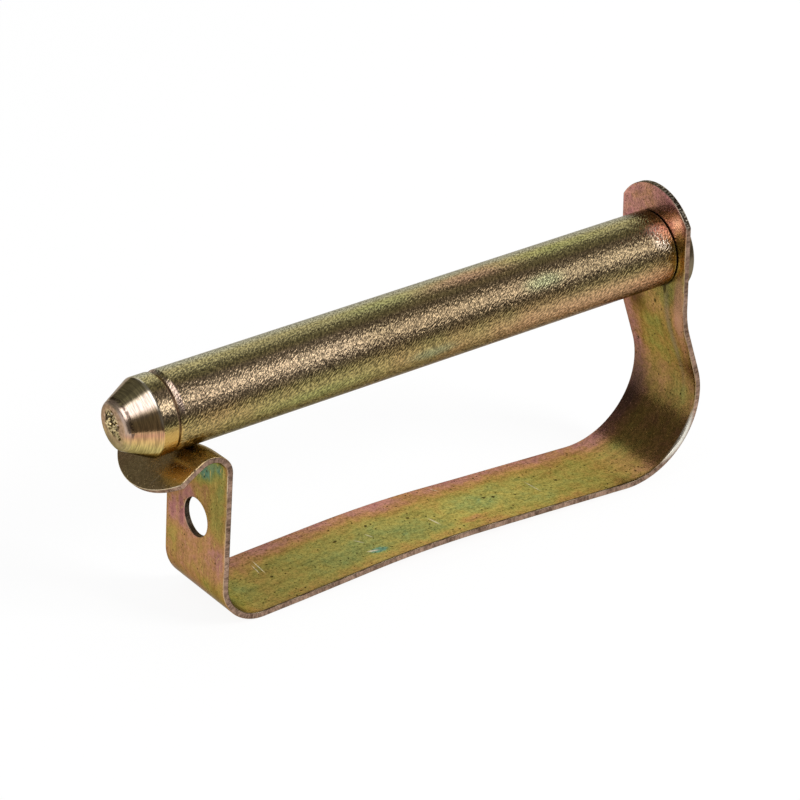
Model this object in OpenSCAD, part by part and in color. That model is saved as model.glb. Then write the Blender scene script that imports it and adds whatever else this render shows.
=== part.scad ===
// Lynch pin: a turned steel pin with a flat spring strap riveted to its head.
// The pin lies along X with its tip at -X, and its shoulder meets the strap at the origin.
// The strap hangs below the pin, runs back under it and rises to a tongue that presses up beneath the tip.

/* [Pin] */
// Diameter of the shank
pin_d = 10; // [8:0.5:12]
// Length from the shoulder to the face of the tip
pin_len = 80.5; // [76:0.5:110]
// Length of the turned cone at the tip
cone_len = 4; // [2:0.25:6]
// Diameter of the flat face of the tip
tip_d = 5.8; // [4:0.2:7]
// Diameter of the parting pip left on the tip
pip_d = 1.9; // [1:0.1:2.6]
// Height of the parting pip
pip_h = 0.5; // [0.2:0.1:1]
// How far the pip stands off the axis
pip_off = 0.35; // [0:0.05:0.6]
// Distance of the turned groove from the tip
groove_back = 6.6; // [6.5:0.1:12]
// Width of the groove at the surface
groove_w = 0.6; // [0.3:0.1:1.2]
// Depth of the groove
groove_depth = 0.25; // [0.1:0.05:0.6]
// Radius of the shank's edge at the shoulder
shoulder_r = 0.7; // [0.3:0.1:1.2]

/* [Rivet] */
// Diameter of the tenon that passes through the strap
tenon_d = 6; // [4:0.25:7]
// Gap round the tenon in the strap
tenon_clear = 0.05; // [0.02:0.01:0.15]
// How far the rivet head's rim stays inside the strap's edges
head_inset = 0.2; // [0.1:0.1:1.5]
// Height of the rivet head at its rim
head_rim = 1; // [0.4:0.1:1.4]
// Rise of the rivet head's dome above its rim
dome_rise = 0.6; // [0.3:0.1:1]

/* [Strap] */
// Width of the strip
strap_w = 12.8; // [10:0.2:16]
// Thickness of the strip
strap_t = 0.8; // [0.6:0.1:1.2]
// Fall of each round end from its middle to the strip's edges
end_drop = 3.6; // [2:0.2:5]
// Height of the tab's round end above the pin's axis
tab_rise = 8.75; // [7.5:0.25:12]
// Length of straight tab below the rivet head
tab_below = 0.2; // [0.1:0.1:2]
// Radius of the bend that leans the strap out below the tab
lean_r = 14.2; // [8:0.2:30]
// Angle at which the strap leans out
lean_out = 17; // [5:1:25]
// Length of the leaning stretch
lean_len = 5.7; // [1:0.1:10]
// Radius of the large loop at the head
loop_r = 10.7; // [7:0.1:14]

/* [Lower run] */
// Angle at which the lower run rises from the loop
run_rise = 4; // [1:0.5:8]
// Length of the rising stretch
rise_len = 23.3; // [15:0.1:35]
// Radius of the arch in the middle of the lower run
arch_r = 160; // [120:10:400]
// Angle at which the lower run falls to the corner
run_fall = 2; // [0.5:0.1:5]
// Length of the falling stretch
fall_len = 15.9; // [8:0.1:24]

/* [Upright and tongue] */
// Radius of the corner below the upright
corner_r = 5.3; // [3:0.1:8]
// Angle at which the upright leans back over the loop
upright_lean = 3.8; // [0:0.2:8]
// Diameter of the lanyard hole
hole_d = 5.2; // [3:0.2:6.5]
// Height of the hole's centre up the flat of the upright
hole_up = 6.8; // [5:0.2:9]
// Radius of the bend at the top of the upright
crest_r = 2.4; // [1:0.1:3]
// Angle at which the tongue falls away from the pin
tongue_fall = 28; // [8:0.5:35]
// Length of the tongue from its bend to its tip
tongue_len = 6.8; // [6:0.1:12]
// Gap between the tongue's bend and the pin
tongue_gap = 0.1; // [0.05:0.05:0.3]

/* [Hidden] */
$fn = 96;
// A cut runs past the faces it goes through by this much
overrun = 1;
// Each bend of the strip is drawn in chords that turn by at most this angle
chord_turn = 4;
// and in no fewer than this many chords
min_chords = 6;

pin_r = pin_d / 2;
cone_start = pin_len - cone_len;
groove_at = pin_len - groove_back;
head_d = strap_w - 2 * head_inset;
head_h = head_rim + dome_rise;
dome_r = (head_d * head_d / 4 + dome_rise * dome_rise) / (2 * dome_rise);
end_r = (strap_w * strap_w / 4 + end_drop * end_drop) / (2 * end_drop);
tab_drop = head_d / 2 + tab_below;

// The strip's middle line is a chain of steps in the XZ plane.
// A bend is [radius, turn], with a positive turn anticlockwise, and a straight is [length, 0].
// The chain starts at the foot of the tab, heading down.
chain_start = [strap_t / 2, -tab_drop];
lower_steps = [
    [lean_r, lean_out],
    [lean_len, 0],
    [loop_r, -(90 + lean_out + run_rise)],
    [rise_len, 0],
    [arch_r, run_rise + run_fall],
    [fall_len, 0],
    [corner_r, -(90 + run_fall + upright_lean)],
];

function along(a) = [cos(a), sin(a)];
function leftward(a) = [-sin(a), cos(a)];
function heading(steps, i) = i == 0 ? -90 : heading(steps, i - 1) + steps[i - 1][1];
function bend_centre(steps, i) =
    place(steps, i) + sign(steps[i][1]) * steps[i][0] * leftward(heading(steps, i));
function place(steps, i) =
    i == 0 ? chain_start
    : steps[i - 1][1] == 0 ? place(steps, i - 1) + steps[i - 1][0] * along(heading(steps, i - 1))
    : bend_centre(steps, i - 1) - sign(steps[i - 1][1]) * steps[i - 1][0] * leftward(heading(steps, i));

// The upright is as long as it takes to bring the top of the tongue's bend up to the pin.
upright_step = len(lower_steps);
upright_foot = place(lower_steps, upright_step);
upright_heading = heading(lower_steps, upright_step);
crest_top = -(pin_r + tongue_gap);
bend_foot = crest_top - strap_t / 2 - crest_r * (1 + cos(upright_heading));
upright_len = (bend_foot - upright_foot[1]) / sin(upright_heading);
steps = concat(lower_steps, [
    [upright_len, 0],
    [crest_r, 90 + upright_lean + tongue_fall],
]);
tongue_heading = heading(steps, len(steps));
tongue_tip = place(steps, len(steps)) + tongue_len * along(tongue_heading);

// Half of the pin's section, with its length along Y: shank, groove, cone, tenon and rivet head.
module pin_section() {
    difference() {
        square([pin_r, cone_start]);
        translate([pin_r - shoulder_r, 0]) difference() {
            translate([0, -overrun]) square([shoulder_r + overrun, shoulder_r + overrun]);
            translate([0, shoulder_r]) circle(shoulder_r);
        }
        polygon([
            [pin_r + groove_depth, groove_at - groove_w],
            [pin_r - groove_depth, groove_at],
            [pin_r + groove_depth, groove_at + groove_w],
        ]);
    }
    polygon([[0, cone_start], [pin_r, cone_start], [tip_d / 2, pin_len], [0, pin_len]]);
    translate([0, -strap_t]) square([tenon_d / 2, strap_t]);
    intersection() {
        translate([0, -strap_t - head_h]) square([head_d / 2, head_h]);
        translate([0, -strap_t - head_h + dome_r]) circle(dome_r);
    }
}

// The pin with the nub that was left where it was parted from the bar.
module pin() {
    color("darkgoldenrod") rotate([0, -90, 0]) {
        rotate_extrude() pin_section();
        translate([pip_off, 0, pin_len - pip_h]) cylinder(d1 = pip_d, d2 = pip_d / 2, h = 2 * pip_h);
    }
}

// A point on one face of the strip, a share of the way round a bend.
// The face is 1 on the left and -1 on the right.
function bend_point(i, share, face) =
    let (turn = steps[i][1])
        bend_centre(steps, i)
            + (face * strap_t / 2 - sign(turn) * steps[i][0]) * leftward(heading(steps, i) + share * turn);

// One face of the strip from the top of the tab to the tip of the tongue.
function face_points(face) = [
    chain_start + [face * strap_t / 2, tab_drop + tab_rise],
    for (i = [0 : len(steps) - 1])
        if (steps[i][1] != 0)
            let (chords = max(min_chords, ceil(abs(steps[i][1]) / chord_turn)))
                for (k = [0 : chords]) bend_point(i, k / chords, face),
    tongue_tip + face * strap_t / 2 * leftward(tongue_heading),
];
function reversed(list) = [for (i = [len(list) - 1 : -1 : 0]) list[i]];

// Cuts the strip to an arc at its end, which is at the origin with the strip behind it on -X.
module end_cut() {
    difference() {
        translate([-end_r, -strap_t, -strap_w]) cube([end_r + overrun, 2 * strap_t, 2 * strap_w]);
        translate([-end_r, 0, 0]) rotate([90, 0, 0]) cylinder(r = end_r, h = 4 * strap_t, center = true);
    }
}

// A round hole through the strip where it runs along X.
module hole(d) {
    rotate([90, 0, 0]) cylinder(d = d, h = 2 * (strap_t + overrun), center = true);
}

// The folded strip in its own plane, with X across the loop and Y up.
module folded_strip() {
    difference() {
        linear_extrude(strap_w, center = true) polygon(concat(face_points(1), reversed(face_points(-1))));
        translate(chain_start) rotate(90) translate([tab_drop + tab_rise, 0, 0]) end_cut();
        translate(chain_start) rotate(90) translate([tab_drop, 0, 0]) hole(tenon_d + 2 * tenon_clear);
        translate(upright_foot) rotate(upright_heading) translate([hole_up, 0, 0]) hole(hole_d);
        translate(tongue_tip) rotate(tongue_heading) end_cut();
    }
}

module strap() {
    color("goldenrod") rotate([90, 0, 0]) folded_strip();
}

pin();
strap();
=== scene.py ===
# %% [markdown]
# # A lynch pin, dressed in Blender
# The object is a turned steel pin with a flat spring strap riveted to its head.
# The strap is one strip of spring steel that loops under the pin and snaps up beneath its tip.
# Both pieces are zinc plated and then passivated, which leaves a thin film of yellow, green and pink.
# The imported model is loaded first, as a fixed frame, and every new piece is built in that same frame.

# %% Load the frame
import math

import bmesh
import bpy
import numpy as np
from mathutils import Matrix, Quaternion, Vector
from mathutils.geometry import delaunay_2d_cdt


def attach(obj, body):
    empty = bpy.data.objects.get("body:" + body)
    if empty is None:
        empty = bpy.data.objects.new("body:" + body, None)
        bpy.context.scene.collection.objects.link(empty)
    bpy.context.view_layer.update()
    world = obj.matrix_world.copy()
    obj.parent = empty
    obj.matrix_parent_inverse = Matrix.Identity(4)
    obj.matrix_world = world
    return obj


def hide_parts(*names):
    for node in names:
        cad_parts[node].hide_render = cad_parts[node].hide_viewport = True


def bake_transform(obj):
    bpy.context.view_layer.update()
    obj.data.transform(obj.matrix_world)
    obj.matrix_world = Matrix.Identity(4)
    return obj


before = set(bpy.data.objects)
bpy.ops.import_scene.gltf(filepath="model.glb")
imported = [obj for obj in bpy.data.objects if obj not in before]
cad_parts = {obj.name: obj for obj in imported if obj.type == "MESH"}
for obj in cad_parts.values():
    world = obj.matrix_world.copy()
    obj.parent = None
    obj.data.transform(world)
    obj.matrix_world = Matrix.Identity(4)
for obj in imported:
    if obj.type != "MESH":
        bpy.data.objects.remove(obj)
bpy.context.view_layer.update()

MM = 0.001


def in_mm(corners):
    """Points in millimetres, rounded for printing."""
    return [[round(c / MM, 2) for c in corner] for corner in corners]


# %% [markdown]
# ## The camera
# A long lens stands above and to the left of the tip, so the pin runs away to the right.
# Its place and lens were fitted to the outlines of the pin and the strap, perspective included.
# With a fitted camera every difference that is left belongs to a shape or a finish, and not to the view.

# %% Camera
CAMERA_PLACE = Vector((-262.10, -316.11, 207.53)) * MM
CAMERA_AZIMUTH = math.radians(-35.151)
CAMERA_ELEVATION = math.radians(29.317)
FOCAL_PIXELS = 3592
PICTURE_PIXELS = 800

look = Vector((
    -math.sin(CAMERA_AZIMUTH) * math.cos(CAMERA_ELEVATION),
    math.cos(CAMERA_AZIMUTH) * math.cos(CAMERA_ELEVATION),
    -math.sin(CAMERA_ELEVATION),
))
camera_data = bpy.data.cameras.new("camera")
camera_data.lens = camera_data.sensor_width * FOCAL_PIXELS / PICTURE_PIXELS
camera_data.clip_start = 10 * MM
camera_data.clip_end = 10
camera = bpy.data.objects.new("camera", camera_data)
camera.location = CAMERA_PLACE
camera.rotation_mode = "QUATERNION"
camera.rotation_quaternion = look.to_track_quat("-Z", "Y")
bpy.context.scene.collection.objects.link(camera)
bpy.context.scene.camera = camera
print("lens in mm", round(camera_data.lens, 1))

# %% [markdown]
# ## Shader expressions
# A finish is a small sum of noises and masks, so it reads best as an expression.
# The class below wraps one socket of a node tree.
# Its operators add Math nodes, and `make` adds any other node.
# Colours and vectors go through Mix and Vector Math nodes, because a Math node would turn a colour grey.

# %% The socket class
class Sock:
    """One socket of a node tree, on which Python's operators add nodes."""

    def __init__(self, tree, socket):
        self.tree = tree
        self.socket = socket

    def make(self, kind, settings=None, inputs=None, out=0):
        """Adds a node: its settings first, then the values or links of its inputs, and gives one output."""
        node = self.tree.nodes.new("ShaderNode" + kind)
        for name, value in (settings or {}).items():
            if name == "stops":
                for place, _ in value[1:-1]:
                    node.color_ramp.elements.new(place)
                for element, (place, colour) in zip(node.color_ramp.elements, value):
                    element.position = place
                    element.color = (*colour, 1)
            else:
                setattr(node, name, value)
        for name, value in (inputs or {}).items():
            if isinstance(value, Sock):
                self.tree.links.new(value.socket, node.inputs[name])
            else:
                node.inputs[name].default_value = value
        return Sock(self.tree, node.outputs[out])

    def math(self, operation, a, b=0.0):
        """A Math node on one or two numbers."""
        return self.make("Math", {"operation": operation}, {0: a, 1: b})

    def __add__(self, other):
        return self.math("ADD", self, other)

    def __sub__(self, other):
        return self.math("SUBTRACT", self, other)

    def __mul__(self, other):
        return self.math("MULTIPLY", self, other)

    def __truediv__(self, other):
        return self.math("DIVIDE", self, other)

    def __rsub__(self, other):
        return self.math("SUBTRACT", other, self)

    __radd__ = __add__
    __rmul__ = __mul__

    def step(self, low, high):
        """0 below low and 1 above high, with a smooth rise between; low may be the larger."""
        settings = {"interpolation_type": "SMOOTHSTEP"}
        return self.make("MapRange", settings, {"Value": self, "From Min": low, "From Max": high})

    def ramp(self, stops):
        """The colour of a ramp at this number."""
        return self.make("ValToRGB", {"stops": stops}, {"Fac": self})

    def tint(self, dull, bright):
        """The colour dull where this is 0 and bright where it is 1."""
        pick = {"data_type": "RGBA", "clamp_factor": True}
        colour = [c if isinstance(c, Sock) else (*c, 1) for c in (dull, bright)]
        return self.make("Mix", pick, {"Factor": self, 6: colour[0], 7: colour[1]}, out=2)

    def times(self, colour):
        """A colour multiplied by this number."""
        pick = {"data_type": "RGBA", "blend_type": "MULTIPLY"}
        grey = self.make("CombineColor", {}, {"Red": self, "Green": self, "Blue": self})
        colour = colour if isinstance(colour, Sock) else (*colour, 1)
        return self.make("Mix", pick, {"Factor": 1.0, 6: colour, 7: grey}, out=2)

    def scaled(self, by):
        """A vector with each part multiplied."""
        return self.make("VectorMath", {"operation": "MULTIPLY"}, {0: self, 1: by})

    def moved(self, by):
        """A vector with another added."""
        return self.make("VectorMath", {"operation": "ADD"}, {0: self, 1: by})

    def part(self, letter):
        """The X, Y or Z part of a vector."""
        return self.make("SeparateXYZ", {}, {"Vector": self}, out=letter)

    def parts(self):
        """The X, Y and Z parts of a vector."""
        return [self.part(letter) for letter in "XYZ"]

    def noise(self, per_mm, detail=2.0, rough=0.5, out=0):
        """Noise from 0 to 1 at this vector, in millimetres, with so many features to the millimetre."""
        sizes = {"Vector": self, "Scale": per_mm, "Detail": detail, "Roughness": rough}
        return self.make("TexNoise", {}, sizes, out)

    def ragged(self, per_mm, by):
        """This vector pushed about by a noise, so that what is drawn on it gets ragged outlines."""
        push = self.noise(per_mm, 2.0, 0.6, out="Color").moved((-0.5, -0.5, -0.5))
        return self.moved(push.scaled((by, by, 0)))

    def spot(self, at, size, turn=0.0, soft=0.4):
        """1 inside an oval of this half size and turn at a place, fading out over its rim."""
        sizes = {"Vector": self, "Location": at, "Rotation": (0, 0, math.radians(turn)), "Scale": size}
        local = self.make("Mapping", {"vector_type": "TEXTURE"}, sizes)
        reach = self.make("VectorMath", {"operation": "LENGTH"}, {0: local}, out="Value")
        return reach.step(1 + soft, 1 - soft)

    def dots(self, per_mm, radius, share):
        """Scattered round dots: a share of the cells of a pattern holds one of this radius."""
        cell = {"Vector": self, "Scale": per_mm}
        size = radius * per_mm
        near = self.make("TexVoronoi", {}, cell, out="Distance").step(size * 1.4, size * 0.7)
        drawn = self.make("TexVoronoi", {}, cell, out="Color").part("X").step(share + 0.01, share - 0.01)
        return near * drawn


def new_finish(name):
    """A material, its Principled node and a socket to start its expressions from."""
    material = bpy.data.materials.new(name)
    material.use_nodes = True
    shader = material.node_tree.nodes["Principled BSDF"]
    return material, shader, Sock(material.node_tree, shader.outputs[0])


def plug(value, shader, name):
    """Links an expression to an input of the shader."""
    value.tree.links.new(value.socket, shader.inputs[name])


print("socket class ready")

# %% [markdown]
# ## The strap's path
# The strap was a flat blank, bent along its length, so its middle line is a chain of bends and straights.
# Working in the blank's own length, width and thickness keeps every edge and hole where a tool would cut it.
# The bends are the ones of the solid that this piece stands for, in millimetres.
# The tongue is drawn as it was made: its sides stand up beside the pin, and it curls down towards its end.

# %% Path of the strap
PIN_R = 5.0
STRAP_W = 12.8
STRAP_T = 0.8
TAB_RISE = 8.75
TAB_DROP = 6.4
UPRIGHT_LEAN = 3.8
CREST_R = 2.43
CREST_TOP = -4.39
TONGUE_FALL = 27.3
TONGUE_LEN = 6.8
TONGUE_CURL = 13.6
HOLE_UP = 6.8
# From the tab to the upright: a length and 0 for a straight, or a radius and a turn in degrees for a bend
lower_steps = [
    (TAB_RISE + TAB_DROP, 0),
    (14.2, 17),
    (5.7, 0),
    (10.7, -111),
    (23.3, 0),
    (160.0, 6.0),
    (15.9, 0),
    (5.3, -92.0 - UPRIGHT_LEAN),
]


def walk(steps):
    """For each step: the blank's length at its start, place, heading, radius or length, and turn."""
    rows = []
    s, place, heading = 0.0, np.array([STRAP_T / 2, TAB_RISE]), -90.0
    for size, turn in steps:
        rows.append((s, place, heading, size, turn))
        a, b = math.radians(heading), math.radians(heading + turn)
        if turn:
            side = math.copysign(size, turn)
            place = place + side * np.array([math.sin(b) - math.sin(a), math.cos(a) - math.cos(b)])
            s += size * abs(math.radians(turn))
        else:
            place = place + size * np.array([math.cos(a), math.sin(a)])
            s += size
        heading += turn
    rows.append((s, place, heading, 0.0, 0.0))
    return rows


upright_start, foot, heading, _, _ = walk(lower_steps)[-1]
bend_foot = CREST_TOP - STRAP_T / 2 - CREST_R * (1 + math.cos(math.radians(heading)))
upright_len = (bend_foot - foot[1]) / math.sin(math.radians(heading))
steps = lower_steps + [
    (upright_len, 0),
    (CREST_R, 90 + UPRIGHT_LEAN + TONGUE_FALL),
    (TONGUE_LEN / math.radians(TONGUE_CURL), TONGUE_CURL),
]
path = walk(steps)
starts = [row[0] for row in path]
BLANK_LEN = starts[-1]
CREST_START, TONGUE_START = starts[-3], starts[-2]
print("blank length", round(BLANK_LEN, 2), "step starts", [round(s, 1) for s in starts])

# %% [markdown]
# ## Folding the blank
# A point of the blank has a length, a width and a height through the thickness.
# Folding walks the length along the path and puts the height on the path's left.
# No strap leaves the press quite true.
# This one is twisted by a degree or two, and its free end is set over a little.
# The crest is also dished where it rubs on the round pin, so it hugs the pin without cutting into it.

# %% Fold
# Twist in degrees at lengths along the blank
TWIST = [(28, 0), (46, 2.3), (64, 2.3), (96, 0.3), (110, 0.8), (127, 1.6), (138, -1.0)]
SET_OVER = np.array([0.25, 0.36, -0.25])
SET_OVER_SPAN = (50, 101)
DISH = 0.45
DISH_W = 2.2


def smooth(x, low, high):
    """A smooth rise from 0 at low to 1 at high."""
    u = np.clip((x - low) / (high - low), 0, 1)
    return u * u * (3 - 2 * u)


def fold(points):
    """Places of blank points (length, width, height) on the folded strap, in millimetres."""
    s, v, t = points.T
    twist = np.radians(np.interp(s, *np.array(TWIST).T))
    v, t = v * np.cos(twist) - t * np.sin(twist), t * np.cos(twist) + v * np.sin(twist)
    crest = smooth(s, CREST_START - 1.5, CREST_START + 1.5) * smooth(s, BLANK_LEN - 1, BLANK_LEN - 5)
    t = t + DISH * crest * np.exp(-((v / DISH_W) ** 2))
    placed = np.zeros_like(points)
    for (s0, place, heading, size, turn), s1 in zip(path[:-1], starts[1:]):
        here = ((s >= s0) | (s0 == 0)) & ((s < s1) | (s1 == BLANK_LEN))
        d = s[here] - s0
        a = math.radians(heading)
        if turn:
            side = math.copysign(size, turn)
            b = a + d / side
            x = place[0] + side * (np.sin(b) - math.sin(a)) - t[here] * np.sin(b)
            z = place[1] + side * (math.cos(a) - np.cos(b)) + t[here] * np.cos(b)
        else:
            x = place[0] + d * math.cos(a) - t[here] * math.sin(a)
            z = place[1] + d * math.sin(a) + t[here] * math.cos(a)
        placed[here] = np.stack([x, v[here], z], axis=1)
    return placed + smooth(s, *SET_OVER_SPAN)[:, None] * SET_OVER


ends = fold(np.array([[0, 0, 0], [BLANK_LEN, 0, 0.0]]))
print("ends of the middle line", ends.round(2).tolist())

# %% [markdown]
# ## The blank
# The blank is a strip with an arc at each end, a hole for the rivet and a hole for a lanyard.
# The tongue's arc is flatter than the tab's and was cropped a little askew.
# A grid of points fills the flat, closer together where the strip will bend, and triangles join them.
# Around every cut a ring of rounded faces closes the thickness, because a sheared edge is never quite sharp.

# %% Outline of the blank
ARRIS_R = 0.11
HALF_W = STRAP_W / 2
TAB_FALL = 3.6
TONGUE_ARC_FALL = 2.85
TONGUE_SKEW = 0.085
RIVET_AT = TAB_RISE
LANYARD_AT = upright_start + HOLE_UP
RIVET_HOLE_R = 3.05
LANYARD_R = 2.5
ROW_STEP = 0.6
BEND_STEP = 4.0
CORNER_ROOM = 0.2
ACROSS = 26
RING_POINTS = 72


def row_lengths():
    """Lengths along the blank at which a row of points crosses it."""
    rows = []
    for (s0, _, _, _, turn), s1 in zip(path[:-1], starts[1:]):
        n = math.ceil(max((s1 - s0) / ROW_STEP, abs(turn) / BEND_STEP))
        rows += [s0 + (s1 - s0) * k / n for k in range(n)]
    return rows + [BLANK_LEN]


def arc_fall(v, fall):
    """How far a round end that falls so much at its sides has fallen back at this width."""
    radius = (HALF_W**2 + fall**2) / (2 * fall)
    return radius - np.sqrt(radius**2 - v**2)


def tab_end(v):
    """Length at which the tab's arc cuts the blank."""
    return arc_fall(v, TAB_FALL)


def tongue_end(v):
    """Length at which the tongue's arc cuts the blank."""
    return BLANK_LEN - arc_fall(v, TONGUE_ARC_FALL) + TONGUE_SKEW * v


rows = row_lengths()
arc_v = np.linspace(-HALF_W, HALF_W, ACROSS * 2 + 1)
side_rows = [s for s in rows if s > TAB_FALL + CORNER_ROOM]
near_rows = [s for s in side_rows if s < tongue_end(-HALF_W) - CORNER_ROOM]
far_rows = [s for s in side_rows if s < tongue_end(HALF_W) - CORNER_ROOM]
outer = [(s, -HALF_W) for s in near_rows]
outer += [(tongue_end(v), v) for v in arc_v]
outer += [(s, HALF_W) for s in reversed(far_rows)]
outer += [(tab_end(v), v) for v in arc_v[::-1]]
turns = np.linspace(0, 2 * math.pi, RING_POINTS, endpoint=False)
holes = [
    [(at + r * math.cos(a), -r * math.sin(a)) for a in turns]
    for at, r in ((RIVET_AT, RIVET_HOLE_R), (LANYARD_AT, LANYARD_R))
]
loops = [np.array(loop) for loop in (outer, *holes)]
print("points on the cut edges", [len(loop) for loop in loops])

# %% Mesh of the blank
EDGE_ROOM = 0.35


def inward(loop):
    """Unit direction into the metal at each point of a cut edge, which runs with the metal on its left."""
    ahead = np.roll(loop, -1, axis=0) - loop
    ahead /= np.linalg.norm(ahead, axis=1)[:, None]
    way = ahead + np.roll(ahead, 1, axis=0)
    way /= np.linalg.norm(way, axis=1)[:, None]
    return np.stack([-way[:, 1], way[:, 0]], axis=1)


flat_loops = [loop + ARRIS_R * inward(loop) for loop in loops]
edge_points = np.concatenate(flat_loops)
grid = np.array([
    (s, v)
    for s in rows
    for v in np.linspace(-HALF_W, HALF_W, ACROSS + 1)[1:-1]
    if tab_end(v) + EDGE_ROOM < s < tongue_end(v) - EDGE_ROOM
    and math.hypot(s - RIVET_AT, v) > RIVET_HOLE_R + ARRIS_R + EDGE_ROOM
    and math.hypot(s - LANYARD_AT, v) > LANYARD_R + ARRIS_R + EDGE_ROOM
])
first = np.cumsum([0] + [len(loop) for loop in flat_loops])
edges = [
    (int(a + k), int(a + (k + 1) % (b - a)))
    for a, b in zip(first[:-1], first[1:])
    for k in range(b - a)
]
flat_points = [Vector(p) for p in np.concatenate([edge_points, grid])]
made = delaunay_2d_cdt(flat_points, edges, [], 1, 1e-6)
flat = np.array([tuple(p) for p in made[0]])


def in_hole(triangle):
    """Whether a triangle joins three points of one hole's ring, and so lies in the hole."""
    return any(all(a <= k < b for k in triangle) for a, b in zip(first[1:-1], first[2:]))


triangles = [tuple(f) for f in made[2] if not in_hole(f)]
print("points on a face", len(flat), "triangles on a face", len(triangles), "given", len(flat_points))

# %% [markdown]
# ## The strap piece
# The two faces and the rounded cut edges are joined into one closed skin and then folded.
# Each point keeps its place in the flat blank, so the finish can be laid out as on the unbent strip.
# It also keeps how far round the cut edge it sits, from 0 on a face to 1 on the cut.

# %% The strap piece
ROUND = [math.radians(a) for a in (30, 60, 90)]
SHANK_SPAN = (-76, -2)


def edge_profile():
    """(distance in from the cut, height, share of cut) from one face to the other, between the faces."""
    top = STRAP_T / 2
    upper = [
        (ARRIS_R * (1 - math.sin(a)), top - ARRIS_R * (1 - math.cos(a)), (k + 1) / len(ROUND))
        for k, a in enumerate(ROUND)
    ]
    middle = [(0.0, h * top, 1.0) for h in (0.4, 0.0, -0.4)]
    return upper + middle + [(d, -h, c) for d, h, c in reversed(upper)]


def strap_mesh():
    """The closed blank as points (length, width, height), each point's share of cut, and faces."""
    half = STRAP_T / 2
    n = len(flat)
    points = [np.column_stack([flat, np.full(n, h)]) for h in (half, -half)]
    cut = [np.zeros(2 * n)]
    faces = [list(t) for t in triangles] + [[n + k for k in reversed(t)] for t in triangles]
    count = 2 * n
    for loop, a in zip(loops, first):
        m = len(loop)
        into = inward(loop)
        rings = [list(range(a, a + m))]
        for d, h, c in edge_profile():
            points.append(np.column_stack([loop + d * into, np.full(m, h)]))
            cut.append(np.full(m, c))
            rings.append(list(range(count, count + m)))
            count += m
        rings.append(list(range(n + a, n + a + m)))
        for upper, lower in zip(rings[:-1], rings[1:]):
            for k in range(m):
                j = (k + 1) % m
                faces.append([upper[j], upper[k], lower[k], lower[j]])
    return np.concatenate(points), np.concatenate(cut), faces


def new_piece(name, points, faces):
    """An object with a smooth mesh, from points in millimetres."""
    mesh = bpy.data.meshes.new(name)
    mesh.from_pydata((points * MM).tolist(), [], faces)
    mesh.validate()
    mesh.shade_smooth()
    obj = bpy.data.objects.new(name, mesh)
    bpy.context.scene.collection.objects.link(obj)
    return obj


def closed(obj):
    """Whether every edge of the mesh joins two faces, its volume in cubic millimetres and its triangles."""
    shape = bmesh.new()
    shape.from_mesh(obj.data)
    whole = all(len(e.link_faces) == 2 for e in shape.edges)
    volume = shape.calc_volume(signed=True) / MM**3
    shape.free()
    return whole, round(volume, 1), sum(len(p.vertices) - 2 for p in obj.data.polygons)


blank_points, blank_cut, blank_faces = strap_mesh()
folded = fold(blank_points)
strap = new_piece("spring_strap", folded, blank_faces)
laid_out = strap.data.attributes.new("blank", "FLOAT_VECTOR", "POINT")
laid_out.data.foreach_set("vector", blank_points.astype(np.float32).ravel())
cut_share = strap.data.attributes.new("cut", "FLOAT", "POINT")
cut_share.data.foreach_set("value", blank_cut.astype(np.float32))
under_pin = folded[(folded[:, 0] > SHANK_SPAN[0]) & (folded[:, 0] < SHANK_SPAN[1])]
gap = np.hypot(under_pin[:, 1], under_pin[:, 2]).min() - PIN_R
print("strap closed, volume and triangles", closed(strap))
print("gap between the strap and the shank", round(gap, 3))

# %% [markdown]
# ## The pin
# The pin was turned from bar in a lathe: a shank, a fine groove, a coned tip and a stub that was peened over.
# A revolved section suits a turned piece, with a small radius at each corner so that edges catch the light.
# The saw that parted it from the bar left the tip's face a little askew, with a torn nub and pits on it.
# The nub is raised from the rings of the face by a few listed lumps and hollows.

# %% Section of the pin
PIN_LEN = 80.5
CONE_LEN = 4.0
TIP_R = 2.9
GROOVE_AT = PIN_LEN - 6.6
GROOVE_HALF = 0.55
GROOVE_DEPTH = 0.3
SHOULDER_R = 0.3
TENON_R = 3.0
HEAD_R = 6.2
HEAD_RIM = 1.0
DOME_RISE = 0.6
AROUND = 256
DOME_RINGS = 14
SHANK_RINGS = 60
FACE_RINGS = 48


def arc_corner(before, corner, after, radius, n=6):
    """Points of a rounded corner of a section."""
    p, a, b = (np.array(q, float) for q in (corner, before, after))
    u, w = (a - p) / np.linalg.norm(a - p), (b - p) / np.linalg.norm(b - p)
    half = math.acos(float(np.clip(u @ w, -1, 1))) / 2
    reach = radius / math.tan(half)
    centre = p + (u + w) / np.linalg.norm(u + w) * radius / math.sin(half)
    q0, q1 = p + u * reach - centre, p + w * reach - centre
    sweep = math.pi - 2 * half
    turn = math.copysign(1, q0[0] * q1[1] - q0[1] * q1[0])
    angles = [turn * sweep * k / n for k in range(n + 1)]
    return [
        tuple(centre + np.array([
            q0[0] * math.cos(t) - q0[1] * math.sin(t),
            q0[0] * math.sin(t) + q0[1] * math.cos(t),
        ]))
        for t in angles
    ]


dome_r = (HEAD_R**2 + DOME_RISE**2) / (2 * DOME_RISE)
dome_top = -STRAP_T - HEAD_RIM - DOME_RISE
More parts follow.
